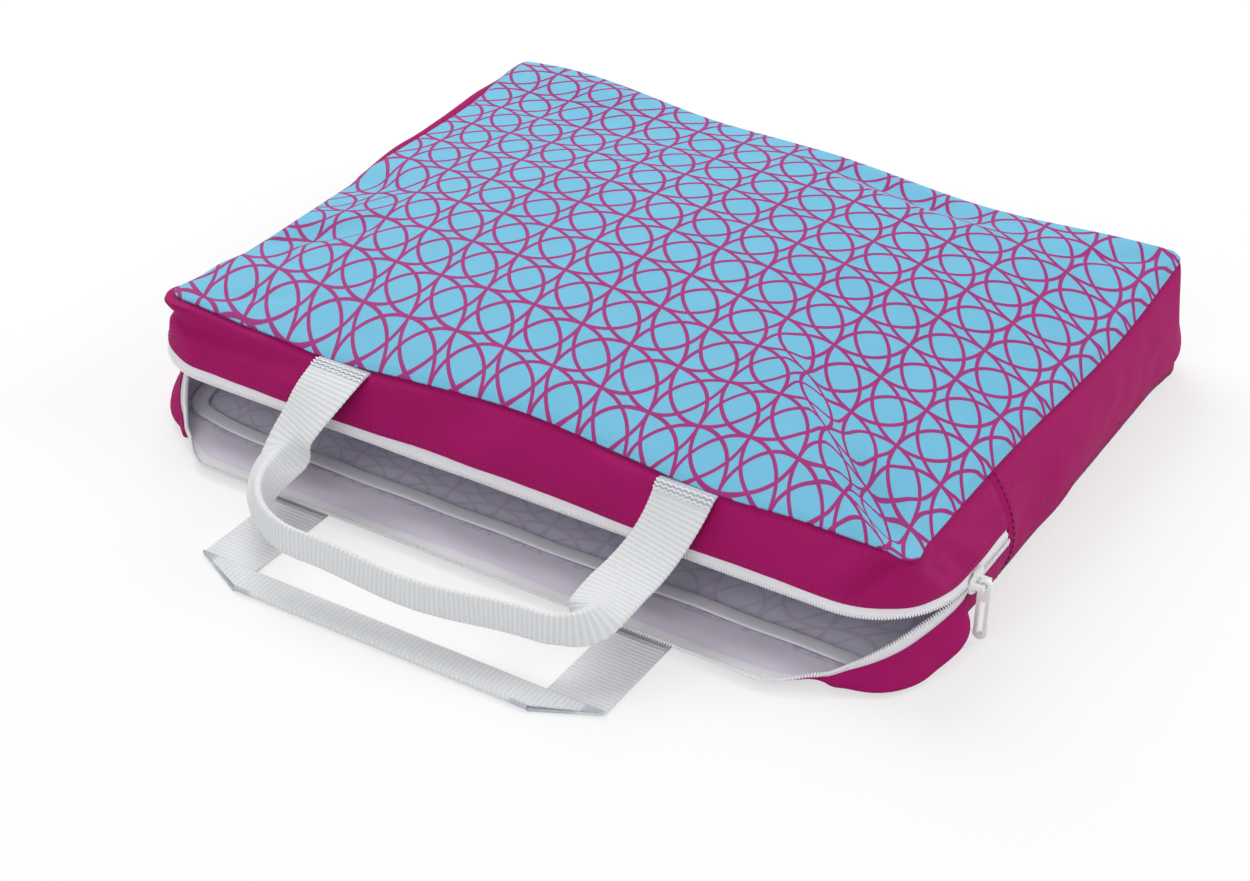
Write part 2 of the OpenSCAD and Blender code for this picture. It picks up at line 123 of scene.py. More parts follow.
UP = np.array([0.0, 0.0, 1.0])


def smooth(t):
    t = np.clip(t, 0, 1)
    return t * t * (3 - 2 * t)


def hump(t):
    """1 at 0, falling smoothly to 0 at 1 and beyond on either side."""
    return smooth(1 - np.abs(t))


def unit(v):
    return v / np.maximum(np.linalg.norm(v, axis=-1, keepdims=True), 1e-9)


def points_of(x, y, z):
    """Points from their coordinates, each of them an array or one number."""
    return np.stack(np.broadcast_arrays(x, y, z), axis=-1)


def soft_noise(points, size, seed):
    flat = np.asarray(points, float).reshape(-1, 3) / size + seed
    values = [noise.noise(Vector(p)) for p in flat]
    return np.array(values).reshape(np.shape(points)[:-1])


# Meshes


def make_mesh(name, vertices, faces, materials, indices=None, sharp=50, **attributes):
    mesh = bpy.data.meshes.new(name)
    mesh.from_pydata((np.asarray(vertices) * MM).tolist(), [], [list(face) for face in faces])
    for material in materials:
        mesh.materials.append(material)
    if indices is not None:
        mesh.polygons.foreach_set("material_index", np.asarray(indices, np.int32))
    mesh.polygons.foreach_set("use_smooth", np.ones(len(mesh.polygons), bool))
    mesh.set_sharp_from_angle(angle=math.radians(sharp))
    for key, values in attributes.items():
        attribute = mesh.attributes.new(key, "FLOAT_VECTOR", "POINT")
        attribute.data.foreach_set("vector", np.asarray(values, np.float32).ravel())
    mesh.update()
    piece = bpy.data.objects.new(name, mesh)
    bpy.context.scene.collection.objects.link(piece)
    return piece


def quads(rows, columns, start=0):
    i, j = np.meshgrid(np.arange(rows - 1), np.arange(columns - 1), indexing="ij")
    a = start + i * columns + j
    return np.stack([a, a + columns, a + columns + 1, a + 1], axis=-1).reshape(-1, 4)


def loop_quads(rings, sides, start=0):
    """Faces of a tube: rings of points, each ring closed on itself."""
    i, j = np.meshgrid(np.arange(rings - 1), np.arange(sides), indexing="ij")
    a = start + i * sides + j
    b = start + i * sides + (j + 1) % sides
    return np.stack([a, b, b + sides, a + sides], axis=-1).reshape(-1, 4)


def grid_normals(grid):
    return unit(np.cross(np.gradient(grid, axis=0), np.gradient(grid, axis=1)))


def cloth_places(grid):
    """Distances along and across a grid of cloth, in metres, for its weave."""
    across = np.linalg.norm(np.diff(grid, axis=1), axis=2).mean(axis=0)
    along = np.linalg.norm(np.diff(grid, axis=0), axis=2).mean(axis=1)
    u = np.concatenate([[0], np.cumsum(across)]) * MM
    v = np.concatenate([[0], np.cumsum(along)]) * MM
    return points_of(u, v[:, None], 0).reshape(-1, 3)


def shell(name, outer, normals, thickness, face, reverse, flip=False, **extra):
    """A closed sheet: the grid is its outer face, and its reverse lies one thickness behind."""
    rows, columns = outer.shape[:2]
    count = rows * columns
    inner = outer - normals * thickness
    order = np.arange(count).reshape(rows, columns)
    rim = np.concatenate([order[:-1, 0], order[-1, :-1], order[:0:-1, -1], order[0, :0:-1]])
    following = np.roll(rim, -1)
    rim_faces = np.stack([following, rim, rim + count, following + count], axis=-1)
    front = quads(rows, columns)
    back = quads(rows, columns, count)[:, ::-1]
    faces = np.concatenate([front, back, rim_faces])
    if flip:
        faces = faces[:, ::-1]
    indices = np.concatenate([np.zeros(len(front)), np.ones(len(back)), np.zeros(len(rim_faces))])
    vertices = np.concatenate([outer.reshape(-1, 3), inner.reshape(-1, 3)])
    attributes = {"cloth": np.tile(cloth_places(outer), (2, 1))}
    for key, values in extra.items():
        attributes[key] = np.tile(values.reshape(-1, 3), (2, 1))
    return make_mesh(name, vertices, faces, [face, reverse], indices, **attributes)


def tube_mesh(centres, radial, radius, sides):
    """Vertices and faces of a capped tube round a line of points."""
    along = unit(np.gradient(centres, axis=0))
    first = unit(radial - along * np.sum(radial * along, axis=1, keepdims=True))
    second = np.cross(along, first)
    turn = np.linspace(0, 2 * np.pi, sides, endpoint=False)
    rings = centres[:, None] + radius * (
        np.cos(turn)[None, :, None] * first[:, None] + np.sin(turn)[None, :, None] * second[:, None])
    return rings.reshape(-1, 3), loop_quads(len(centres), sides)


def resample(points, count, *others):
    """Points at even distances along a line, with other values carried along."""
    steps = np.linalg.norm(np.diff(points, axis=0), axis=1)
    place = np.concatenate([[0], np.cumsum(steps)])
    wanted = np.linspace(0, place[-1], count)
    return [np.stack([np.interp(wanted, place, column) for column in line.T], axis=1)
            for line in (points, *others)]


def line_length(points):
    return np.linalg.norm(np.diff(points, axis=0), axis=1).sum()


# Materials


def colour(code):
    """Linear colour of a six-digit web colour."""
    parts = [int(code[k:k + 2], 16) / 255 for k in (0, 2, 4)]
    linear = [((c + 0.055) / 1.055) ** 2.4 if c > 0.04 else c / 12.92 for c in parts]
    return (*linear, 1.0)


class Look:
    """A material with short calls for its nodes."""

    def __init__(self, name, **constants):
        self.material = bpy.data.materials.new(name)
        self.material.use_nodes = True
        self.tree = self.material.node_tree
        self.shader = self.tree.nodes["Principled BSDF"]
        for key, value in constants.items():
            self.shader.inputs[key.replace("_", " ").title().replace("Ior", "IOR")].default_value = value

    def put(self, socket, value):
        if isinstance(value, bpy.types.NodeSocket):
            self.tree.links.new(value, socket)
        else:
            socket.default_value = value

    def node(self, kind, values, **settings):
        made = self.tree.nodes.new(kind)
        for key, value in settings.items():
            setattr(made, key, value)
        for key, value in values.items():
            self.put(made.inputs[key], value)
        return made

    def math(self, operation, a, b=0.0):
        return self.node("ShaderNodeMath", {0: a, 1: b}, operation=operation).outputs[0]

    def vector(self, operation, a, b=(0, 0, 0)):
        return self.node("ShaderNodeVectorMath", {0: a, 1: b}, operation=operation)

    def raised(self, wave):
        """A wave between -1 and 1, moved to lie between 0 and 1."""
        made = self.node("ShaderNodeMath", {0: wave, 1: 0.5, 2: 0.5}, operation="MULTIPLY_ADD")
        return made.outputs[0]

    def mix(self, share, a, b):
        return self.node("ShaderNodeMix", {0: share, 6: a, 7: b}, data_type="RGBA").outputs[2]

    def span(self, value, low, high, to_low, to_high):
        made = self.node("ShaderNodeMapRange", {0: value, 1: low, 2: high, 3: to_low, 4: to_high},
                         interpolation_type="SMOOTHSTEP")
        return made.outputs[0]

    def place(self, name="cloth"):
        return self.node("ShaderNodeAttribute", {}, attribute_name=name).outputs["Vector"]

    def noise(self, where, scale, detail=2.0):
        made = self.node("ShaderNodeTexNoise", {"Vector": where, "Scale": scale, "Detail": detail})
        return made.outputs["Fac"]

    def weave(self, pitch_u, pitch_v):
        """Height of a plain weave from 0 to 1, with threads at these distances in metres."""
        turns = (2 * math.pi / pitch_u, 2 * math.pi / pitch_v, 0)
        waves = self.vector("SINE", self.vector("MULTIPLY", self.place(), turns).outputs[0]).outputs[0]
        parts = self.node("ShaderNodeSeparateXYZ", {0: waves}).outputs
        return self.raised(self.math("MULTIPLY", parts[0], parts[1]))

    def finish(self, base, roughness, height, depth, strength):
        bump = self.node("ShaderNodeBump", {"Height": height, "Distance": depth, "Strength": strength})
        self.put(self.shader.inputs["Base Color"], base)
        self.put(self.shader.inputs["Roughness"], roughness)
        self.put(self.shader.inputs["Normal"], bump.outputs[0])
        return self.material


def lattice(look, half_width, edge):
    """1 on the lines of a lattice of overlapping circles, whose radius is the grid's own pitch."""
    share = look.vector("FRACTION", look.place("print")).outputs[0]
    middle = look.vector("ABSOLUTE", look.vector("SUBTRACT", share, (0.5, 0.5, 0)).outputs[0]).outputs[0]
    folded = look.vector("SUBTRACT", (0.5, 0.5, 0), middle).outputs[0]
    nearest = 1.0
    for centre in [(1, 0, 0), (0, 1, 0), (1, 1, 0), (-1, 0, 0), (0, -1, 0)]:
        away = look.vector("DISTANCE", folded, centre).outputs["Value"]
        nearest = look.math("MINIMUM", nearest, look.math("ABSOLUTE", look.math("SUBTRACT", away, 1.0)))
    return look.span(nearest, half_width - edge, half_width + edge, 1.0, 0.0)


# Distance between the cloth's threads, and between the strands of the webbing's yarn, in metres
THREAD = 0.0011
STRAND = 0.0013


def print_cloth():
    look = Look("print_cloth", specular_ior_level=0.2)
    threads = look.weave(THREAD, THREAD)
    patches = look.noise(look.place(), 22.0)
    ground = look.mix(patches, colour("66B1D0"), colour("76BDD6"))
    ground = look.mix(look.math("MULTIPLY", threads, 0.4), ground, colour("4F9BC2"))
    lines = look.mix(threads, colour("8E1E6C"), colour("9A2876"))
    base = look.mix(lattice(look, 0.036, 0.007), ground, lines)
    return look.finish(base, look.span(threads, 0, 1, 0.55, 0.7), threads, 0.00018, 0.55)


def plain_cloth():
    look = Look("plain_cloth", specular_ior_level=0.12)
    threads = look.weave(THREAD, THREAD)
    patches = look.noise(look.place(), 30.0)
    ground = look.mix(patches, colour("A60D62"), colour("B2126C"))
    base = look.mix(look.math("MULTIPLY", threads, 0.6), ground, colour("7A084A"))
    return look.finish(base, look.span(threads, 0, 1, 0.6, 0.75), threads, 0.00024, 0.7)


def reverse_cloth(name, tint, shows_print):
    look = Look(name, specular_ior_level=0.25)
    threads = look.weave(THREAD, THREAD)
    base = look.mix(look.math("MULTIPLY", threads, 0.4), colour("E9E5F2"), colour("D3CDE3"))
    base = look.mix(look.math("MULTIPLY", look.noise(look.place(), 40.0), 0.25), base, tint)
    if shows_print:
        base = look.mix(look.math("MULTIPLY", lattice(look, 0.03, 0.02), 0.35), base, colour("C9A0C4"))
    return look.finish(base, 0.7, threads, 0.00015, 0.5)


def woven_tape(name, light, dark, pitch):
    """Narrow woven tape with fine ribs across it."""
    look = Look(name, specular_ior_level=0.25)
    threads = look.weave(pitch, pitch * 0.6)
    base = look.mix(look.math("MULTIPLY", threads, 0.5), light, dark)
    return look.finish(base, 0.75, threads, 0.0002, 0.6)


def ribbed_webbing(name):
    """White webbing: narrow ridges across it, yarn that slants one way and the other by turns, and painted
    shade in the valleys between its ribs and at its stitched ends.
    """
    look = Look(name, specular_ior_level=0.25)
    parts = look.node("ShaderNodeSeparateXYZ", {0: look.place()}).outputs
    ribs = look.math("MULTIPLY", parts[1], 1 / (RIB_PITCH * MM))
    phase = look.math("MULTIPLY", ribs, 2 * math.pi)
    rib = look.math("POWER", look.raised(look.math("COSINE", phase)), 1.5)
    even = look.math("GREATER_THAN", look.math("SINE", look.math("MULTIPLY", ribs, math.pi)), 0.0)
    slant = look.math("SUBTRACT", look.math("MULTIPLY", even, 2.0), 1.0)
    twist = look.math("MULTIPLY", phase, slant)
    yarn = look.math("MULTIPLY", parts[0], 2 * math.pi / STRAND)
    strands = look.raised(look.math("SINE", look.math("ADD", yarn, twist)))
    height = look.math("ADD", rib, look.math("MULTIPLY", strands, 0.6))
    # Painted shade: the webbing is painted darker in the valleys between its ribs and lighter on their
    # crests
    base = look.mix(rib, colour("D3D5D7"), colour("E2E3E4"))
    base = look.mix(look.math("MULTIPLY", strands, 0.3), base, colour("C4C9CE"))
    # Painted shade: a blue-grey darkening within about 8 mm of each end of the webbing, where it is pressed
    # under the root stitches
    root_shade = look.span(parts[2], 0.0065, 0.0095, 0.55, 0.0)
    base = look.mix(root_shade, base, colour("98A2B4"))
    return look.finish(base, 0.7, height, 0.0002, 0.6)


def moulded(name, light, dark, roughness, coat):
    """Smooth white plastic or enamel with a slightly uneven surface."""
    look = Look(name, coat_weight=coat, coat_roughness=0.08)
    where = look.node("ShaderNodeTexCoord", {}).outputs["Object"]
    uneven = look.noise(where, 260.0, 3.0)
    base = look.mix(uneven, light, dark)
    return look.finish(base, look.span(uneven, 0.3, 0.7, roughness, roughness + 0.1), uneven, 0.0001, 0.12)


def thread(name, light, dark):
    look = Look(name, specular_ior_level=0.35)
    where = look.node("ShaderNodeTexCoord", {}).outputs["Object"]
    twist = look.noise(where, 1800.0, 1.0)
    return look.finish(look.mix(twist, light, dark), 0.6, twist, 0.0001, 0.5)


PRINT = print_cloth()
PLAIN = plain_cloth()
PRINT_REVERSE = reverse_cloth("print_reverse", colour("BFD9E6"), True)
PLAIN_REVERSE = reverse_cloth("plain_reverse", colour("E3C3DC"), False)
TAPE = woven_tape("zip_tape", colour("F1F0F4"), colour("D9D7DF"), 0.0007)
BINDING = woven_tape("binding", colour("ECEAF0"), colour("CFCBD8"), 0.0012)
COIL = moulded("zip_coil", colour("F3F3F5"), colour("E6E6EA"), 0.35, 0.1)
GLOSS = moulded("zip_gloss", colour("F2F4F4"), colour("E4E8E8"), 0.22, 0.6)
WEBBING = ribbed_webbing("webbing")
WHITE_THREAD = thread("white_thread", colour("F2F2F4"), colour("CFD0D6"))
PLAIN_THREAD = thread("plain_thread", colour("9A1262"), colour("7A0A4C"))
DARK_THREAD = thread("dark_thread", colour("6A0A44"), colour("4C062E"))


# The walls


def wall_x(h):
    return HALF_W - TOP_INSET * h + SIDE_BOW * np.sin(np.pi * h)


def wall_y(h):
    return HALF_D - TOP_INSET * h + END_BOW * np.sin(np.pi * h)


def wall_r(h):
    return CORNER_R + (TOP_R - CORNER_R) * h + CORNER_SWELL * np.sin(np.pi * h)


def wall_z(h):
    return CLOTH + (SEAM_Z - CLOTH) * h


def lean(h):
    """How far the walls lean back, as the top panel sits behind the base."""
    return TOP_BACK * h ** 3


def height_of(z):
    return (z - CLOTH) / (SEAM_Z - CLOTH)


# Points along a wall's flank in front of and behind the side seam, round its corner and along its end
FLANK_STEPS = {-1: 18, 1: 60}
ARC_STEPS = 22
END_STEPS = 110


def wall_run(h, side):
    """Points at one height from the right side seam to the left, round the front (-1) or the back (1)."""
    r = wall_r(h)
    x = wall_x(h) - r
    y = wall_y(h) - r
    flank = np.linspace(SIDE_SEAM_Y, side * y + lean(h), FLANK_STEPS[side], endpoint=False)
    turn = np.linspace(0, np.pi / 2, ARC_STEPS, endpoint=False)
    end = np.linspace(x, 0, END_STEPS // 2 + 1)
    xs = np.concatenate([np.full(len(flank), wall_x(h)), x + r * np.cos(turn), end])
    corner = side * (y + r * np.sin(turn)) + lean(h)
    ys = np.concatenate([flank, corner, np.full(len(end), side * wall_y(h) + lean(h))])
    right = points_of(xs, ys, wall_z(h))
    left = right[-2::-1] * [-1, 1, 1]
    return np.concatenate([right, left])


def edge_shift(points):
    """How the slack top seam sags, rises and leans away from its drawn line."""
    x = points[..., 0]
    y = points[..., 1]
    front = smooth((-y - 90) / 40)
    back = smooth((y - 100) / 45)
    left = smooth((-x - 135) / 45)
    right = smooth((x - 135) / 45)
    between = front * hump(x / 82)
    roots = front * (hump((x - 98) / 40) + hump((x + 98) / 40))
    corner = hump(np.hypot(x - 186, y + 139) / 11)
    dx = 3.5 * right * hump((y - 60) / 130) + 1.5 * left * hump((y - 70) / 80) + 3.2 * corner
    dy = 3.0 * between - 3.2 * corner - 0.8 * roots
    dz = 3.0 * between - 1.5 * roots - 2.0 * right * hump((y - 60) / 110)
    dz = dz + back * (7.5 * hump((x + 150) / 95) - 5.5 * hump((x - 88) / 95))
    sunk = smooth((y + 105) / 25) * smooth((12 - y) / 18)
    dz = dz + left * (2.5 * hump((y + 142) / 28) - 3.0 * sunk)
    return points_of(dx, dy, dz)


def slack_share(h):
    """How much of the top seam's shift the walls take up at this height."""
    return smooth((h - 0.45) / 0.55)


def base_shift(points):
    """How the slack base is drawn in at its left front corner and out at its right back one."""
    front = hump(np.hypot(points[..., 0] + HALF_W, points[..., 1] + HALF_D) / 54)
    back = hump(np.hypot(points[..., 0] - HALF_W, points[..., 1] - HALF_D) / 40)
    return front[..., None] * np.array([9.0, 6.0, 0.0]) + back[..., None] * np.array([3.0, 2.0, 0.0])


def wall_folds(points, h, side):
    """Heights of the soft folds that lie in the slack walls."""
    x = points[..., 0]
    y = points[..., 1]
    folds = 3.0 * soft_noise(points * [1, 1, 1.6], 46.0, 3.1)
    folds = folds + 1.7 * soft_noise(points * [1, 1, 1.3], 19.0, 8.7)
    if side > 0:
        return folds * np.sin(np.pi * h)
    gathers = 1.6 * soft_noise(points * [1, 1, 0.3], 13.0, 5.5) * smooth((h - 0.65) / 0.25)
    folds = (folds + gathers) * np.sin(np.pi * np.clip((h - 0.5) * 2, 0, 1))
    left = smooth((-x - 95) / 45)
    folds = folds + left * (1.2 * hump((h - 0.95) / 0.06) - 2.6 * hump((h - 0.85) / 0.09))
    corner = smooth((-x - 165) / 15) * smooth((-y - 120) / 20)
    folds = folds + corner * 2.6 * hump((h - 0.93) / 0.09)
    round_corner = (x + y) * smooth((x - 120) / 20)
    fan = smooth((h - 0.62) / 0.1) * smooth((0.99 - h) / 0.06) * smooth((x - 125) / 20)
    folds = folds - 3.2 * fan * hump((round_corner - 40 + 80 * (1 - h)) / 9)
    folds = folds + 2.8 * fan * hump((round_corner - 46 - 60 * (1 - h)) / 11)
    return folds - 2.6 * fan * hump((round_corner - 62 - 90 * (1 - h)) / 10)


def flank_ridge(points, h):
    """How the left flank's slack cloth stands up in a ridge below the top seam."""
    y = points[..., 1]
    where = smooth((-points[..., 0] - 150) / 25) * smooth((y + 8) / 60) * smooth((152 - y) / 45)
    ridge = where * smooth((h - 0.55) / 0.33) * (1 - smooth((h - 0.9) / 0.1))
    return ridge[..., None] * [-1.5, 0, 5.5]


def wall_surface(side, heights):
    """The slack wall's outer face and its normals at these heights."""
    rows = np.array([wall_run(h, side) for h in heights])
    h = np.asarray(heights)[:, None]
    normals = grid_normals(rows) * -side
    from_seam = np.abs(rows[..., 1] - SIDE_SEAM_Y)
    lift = wall_folds(rows, h, side) * smooth(from_seam / 14) - 1.3 * hump(from_seam / 3.5)
    rows = rows + normals * lift[..., None]
    rows = rows + edge_shift(rows) * slack_share(h)[..., None]
    if side > 0:
        rows = rows + flank_ridge(rows, h) + base_shift(rows) * ((1 - h) ** 2)[..., None]
    return rows, grid_normals(rows) * -side


def tuck_top(outer, normals, heights, start):
    """The wall's face drawn in from this height up, so that its top goes under the panel's seam."""
    tuck = SEAM_TUCK * smooth((heights - start) / (1 - start))
    return outer - normals * tuck[:, None, None]


def panel_places(half_x, half_y, radius, middle, rows, columns):
    """A grid over a panel with rounded corners, and each point's distance from its edge."""
    turn = np.linspace(np.pi / 2, 0, 8)
    corner = half_y - radius + radius * np.sin(turn)
    straight = np.linspace(half_y - radius, 0, rows)[1:]
    ys = np.concatenate([-corner, -straight[:-1], straight[::-1], corner[::-1]])
    even = np.linspace(-1, 1, columns)
    us = 0.35 * np.sin(even * np.pi / 2) + 0.65 * even
    over = np.clip(np.abs(ys) - (half_y - radius), 0, radius)
    widths = half_x - radius + np.sqrt(radius ** 2 - over ** 2)
    x = widths[:, None] * us[None, :]
    y = np.repeat(ys[:, None], columns, axis=1)
    rim = np.minimum(widths[:, None] - np.abs(x), half_y - np.abs(y))
    return x, y + middle, rim


def crease(x, y, start, end, width, height):
    """A soft ridge in a panel, or a valley where its height is negative, from start to end."""
    way = np.subtract(end, start)
    length = math.hypot(*way)
    along = ((x - start[0]) * way[0] + (y - start[1]) * way[1]) / length ** 2
    across = ((y - start[1]) * way[0] - (x - start[0]) * way[1]) / length
    return height * hump(across / width) * smooth(along / 0.25) * smooth((1 - along) / 0.5)


# Creases of the top panel: start, end, half width and height
PANEL_CREASES = (
    ((-192, -78), (-125, -25), 15, -4.0),
    ((-5, 134), (125, 126), 15, -4.0),
    ((190, -142), (105, -75), 8, -3.0),
    ((193, -128), (115, -66), 8, 1.8),
    ((176, -146), (97, -84), 8, 1.6),
    ((-188, -140), (-120, -105), 9, -1.6),
    ((188, 148), (130, 105), 10, -2.0),
)


def panel_surface():
    """The crowned top panel's outer face, tucked into its seam all round."""
    half_x = wall_x(1)
    half_y = wall_y(1)
    x, y, rim = panel_places(half_x, half_y, TOP_R, TOP_BACK, 56, 149)
    inside = np.clip(1 - (x / half_x) ** 2, 0, 1) * np.clip(1 - ((y - TOP_BACK) / half_y) ** 2, 0, 1)
    flat = points_of(x, y, 0)
    z = CROWN * inside ** CROWN_FULLNESS
    roll = 2.2 - 1.6 * smooth((-y - 70) / 50)
    z = z + roll * smooth(rim / 4) * (1 - smooth(rim / 60))
    z = z + (1.3 * soft_noise(flat, 70.0, 1.7) + 0.5 * soft_noise(flat, 27.0, 6.1)) * smooth(rim / 30)
    folds = sum(crease(x, y, *row) for row in PANEL_CREASES)
    z = z + folds * smooth(rim / 9)
    grid = points_of(x, y, SEAM_Z + 0.3 + z)
    return grid + edge_shift(grid), x, y


def spot(x, y, middle, size):
    """1 at a place on a panel, falling smoothly to 0 at this size round it."""
    return hump(np.hypot((x - middle[0]) / size[0], (y - middle[1]) / size[1]))


def print_places(x, y):
    """Columns and rows of the printed lattice, drawn a little askew where the cloth is slack.

    In front of the corner's pucker the print is set back, as the pucker swallows part of it."""
    u = x / 100
    v = y / 100
    pucker = smooth((x - 45) / 70) * smooth(-y / 75) * smooth((46 - x - y) / 16)
    left = spot(x, y, (-185, -10), (50, 40))
    back = spot(x, y, (-150, 140), (60, 45))
    column = PRINT_MIDDLE[0] + x / PRINT_PITCH[0]
    column = column + 0.15 * v - 0.03 * u * u - 0.06 * u * v - 0.2 * v * v
    column = column - 0.04 * u * u * v + 0.09 * u * v * v + 0.06 * v ** 3
    column = column + 0.25 * pucker - 0.46 * left - 0.29 * back
    row = PRINT_MIDDLE[1] + y / PRINT_PITCH[1]
    row = row + 0.3 * u + 0.21 * u * u - 0.05 * u * v + 0.15 * v * v
    row = row + 0.1 * u ** 3 + 0.04 * u * u * v - 0.11 * u * v * v - 0.09 * v ** 3
    row = row - 0.65 * pucker + 0.62 * left + 0.45 * back
    return points_of(column, row, 0)


def add_print_panel():
    grid, x, y = panel_surface()
    normals = -grid_normals(grid)
    places = print_places(x, y)
    panel = shell("print_panel", grid, normals, SHEET, PRINT, PRINT_REVERSE, flip=True, print=places)
    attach(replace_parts(panel, "top_panel"), "case")


def add_base_panel():
    """The base panel, printed as the top is, lying on the floor with its edge turned up into the seam."""
    x, y, rim = panel_places(HALF_W, HALF_D, CORNER_R, 0, 30, 81)
    flat = points_of(x, y, 0)
    lift = 0.6 * smooth(rim / 25) * (0.5 + soft_noise(flat, 60.0, 4.2)) + 0.7 * (1 - smooth(rim / 6))
    grid = points_of(x, y, 0.05 + np.maximum(lift, 0))
    grid = grid + base_shift(grid)
    places = print_places(x, -y)
    panel = shell("base_cloth", grid, grid_normals(grid), SHEET, PRINT, PRINT_REVERSE, print=places)
    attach(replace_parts(panel, "base_panel"), "case")


def add_main_gusset():
    heights = np.linspace(0.005, 1, 30)
    outer, normals = wall_surface(1, heights)
    outer = tuck_top(outer, normals, heights, 0.96)
    gusset = shell("gusset_cloth", outer, normals, SHEET, PLAIN, PLAIN_REVERSE, flip=True)
    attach(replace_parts(gusset, "main_gusset"), "case")


STRIP_LOW = height_of(MID_Z + ZIP_HALF)


def add_upper_strip():
    heights = np.linspace(STRIP_LOW, 1, 18)
    outer, normals = wall_surface(-1, heights)
    outer = tuck_top(outer, normals, heights, 0.95)
    strip = shell("upper_strip_cloth", outer, normals, SHEET, PLAIN, PLAIN_REVERSE)
    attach(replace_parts(strip, "upper_zip_strip"), "case")


def add_upper_zip():
    low = height_of(MID_Z + ROW_HALF_GAP + COIL_HALF)
    heights = np.linspace(low, height_of(MID_Z + ZIP_HALF + TAPE_LAP), 6)
    outer, normals = wall_surface(-1, heights)
    tape = shell("upper_tape_woven", outer - normals * TAPE_BEHIND, normals, TAPE_T, TAPE, TAPE)
    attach(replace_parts(tape, "upper_zip_tape"), "case")
    axis = outer[0] - normals[0] * COIL_BEHIND
    down = unit(outer[0] - outer[1])
    row = coil("upper_coil", axis, normals[0], down, 0.0)
    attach(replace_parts(row, "upper_zip_teeth"), "case")


# Points in one turn of the coil's wire
COIL_STEPS = 8


def coil(name, axis, outward, across, shift):
    """A row of coil teeth: one wire wound round a line, flattened against its tape."""
    turns = round(line_length(axis) / COIL_PITCH)
    axis, outward, across = resample(axis, turns * COIL_STEPS + 1, outward, across)
    angle = 2 * np.pi * (np.arange(len(axis)) / COIL_STEPS + shift)
    radial = np.cos(angle)[:, None] * across * COIL_HALF + np.sin(angle)[:, None] * outward * COIL_DEEP
    vertices, faces = tube_mesh(axis + radial, radial, COIL_WIRE, 5)
    return make_mesh(name, vertices, faces, [COIL])


# The open lower lip

LOW_TIP = height_of(MID_Z - ROW_HALF_GAP)
LIP_LEN = math.hypot(lean(LOW_TIP) - wall_y(LOW_TIP) - HINGE[1], wall_z(LOW_TIP) - HINGE[2])
LIP_REACH = LIP_LEN * np.array([0.0, -math.cos(LIP_SLOPE), math.sin(LIP_SLOPE)])
LIP_END = HINGE + LIP_REACH + [CUT_X, 0, 0]
LIP_NOSE = np.array([wall_x(LOW_TIP), SLIDER_NOSE_Y, wall_z(LOW_TIP)])
BASE_FRONT = HALF_W - CORNER_R - CUT_X
BASE_ARC = CORNER_R * math.pi / 2
BASE_RUN = BASE_FRONT + BASE_ARC + SLIDER_NOSE_Y + HALF_D - CORNER_R

# Places along the lip's flank, round its corner and along half its front, and rows across it
FLANK_PLACES = 14
CORNER_PLACES = 44
FRONT_PLACES = 47
STRIP_ROWS = 16
TAPE_ROWS = 7


def lip_edge(turn):
    """The open lip's edge from its flat middle to the slider, at even distances."""
    u = np.linspace(0, 1, 200)[:, None]
    bend = LIP_END + [turn, 0, 0]
    line = (1 - u) ** 2 * LIP_END + 2 * u * (1 - u) * bend + u ** 2 * LIP_NOSE
    return resample(line, CORNER_PLACES)[0]


def lip_foot():
    """The base seam below that edge, and the way out from it."""
    d = np.linspace(0, BASE_RUN, CORNER_PLACES)
    turn = np.clip((d - BASE_FRONT) / CORNER_R, 0, np.pi / 2)
    x = CUT_X + np.minimum(d, BASE_FRONT) + CORNER_R * np.sin(turn)
    y = -HALF_D + CORNER_R * (1 - np.cos(turn)) + np.maximum(0, d - BASE_FRONT - BASE_ARC)
    return points_of(x, y, CLOTH), points_of(np.sin(turn), -np.cos(turn), 0)


def lip_width():
    h = np.linspace(0, LOW_TIP, 30)
    return np.hypot(np.diff(wall_x(h)), np.diff(wall_z(h))).sum()


def lip_stations(turn):
    """Foot, edge, way out and sag at places from the side seam round the corner to the front's middle."""
    y = np.linspace(SIDE_SEAM_Y, SLIDER_NOSE_Y, FLANK_PLACES, endpoint=False)
    x = np.linspace(CUT_X, 0, FRONT_PLACES)[1:]
    round_corner = np.linspace(1, 0, CORNER_PLACES)
    corner_foot, corner_out = lip_foot()
    foot = [points_of(HALF_W, y, CLOTH), corner_foot[::-1], points_of(x, -HALF_D, CLOTH)]
    edge = [points_of(LIP_NOSE[0], y, LIP_NOSE[2]), lip_edge(turn)[::-1], points_of(x, *LIP_END[1:])]
    out = [points_of(1, 0 * y, 0), corner_out[::-1], points_of(0 * x, -1, 0)]
    sag = [0 * y, LIP_SAG * np.sin(np.pi * round_corner), 0 * x]
    return [np.concatenate(part) for part in (foot, edge, out, sag)]


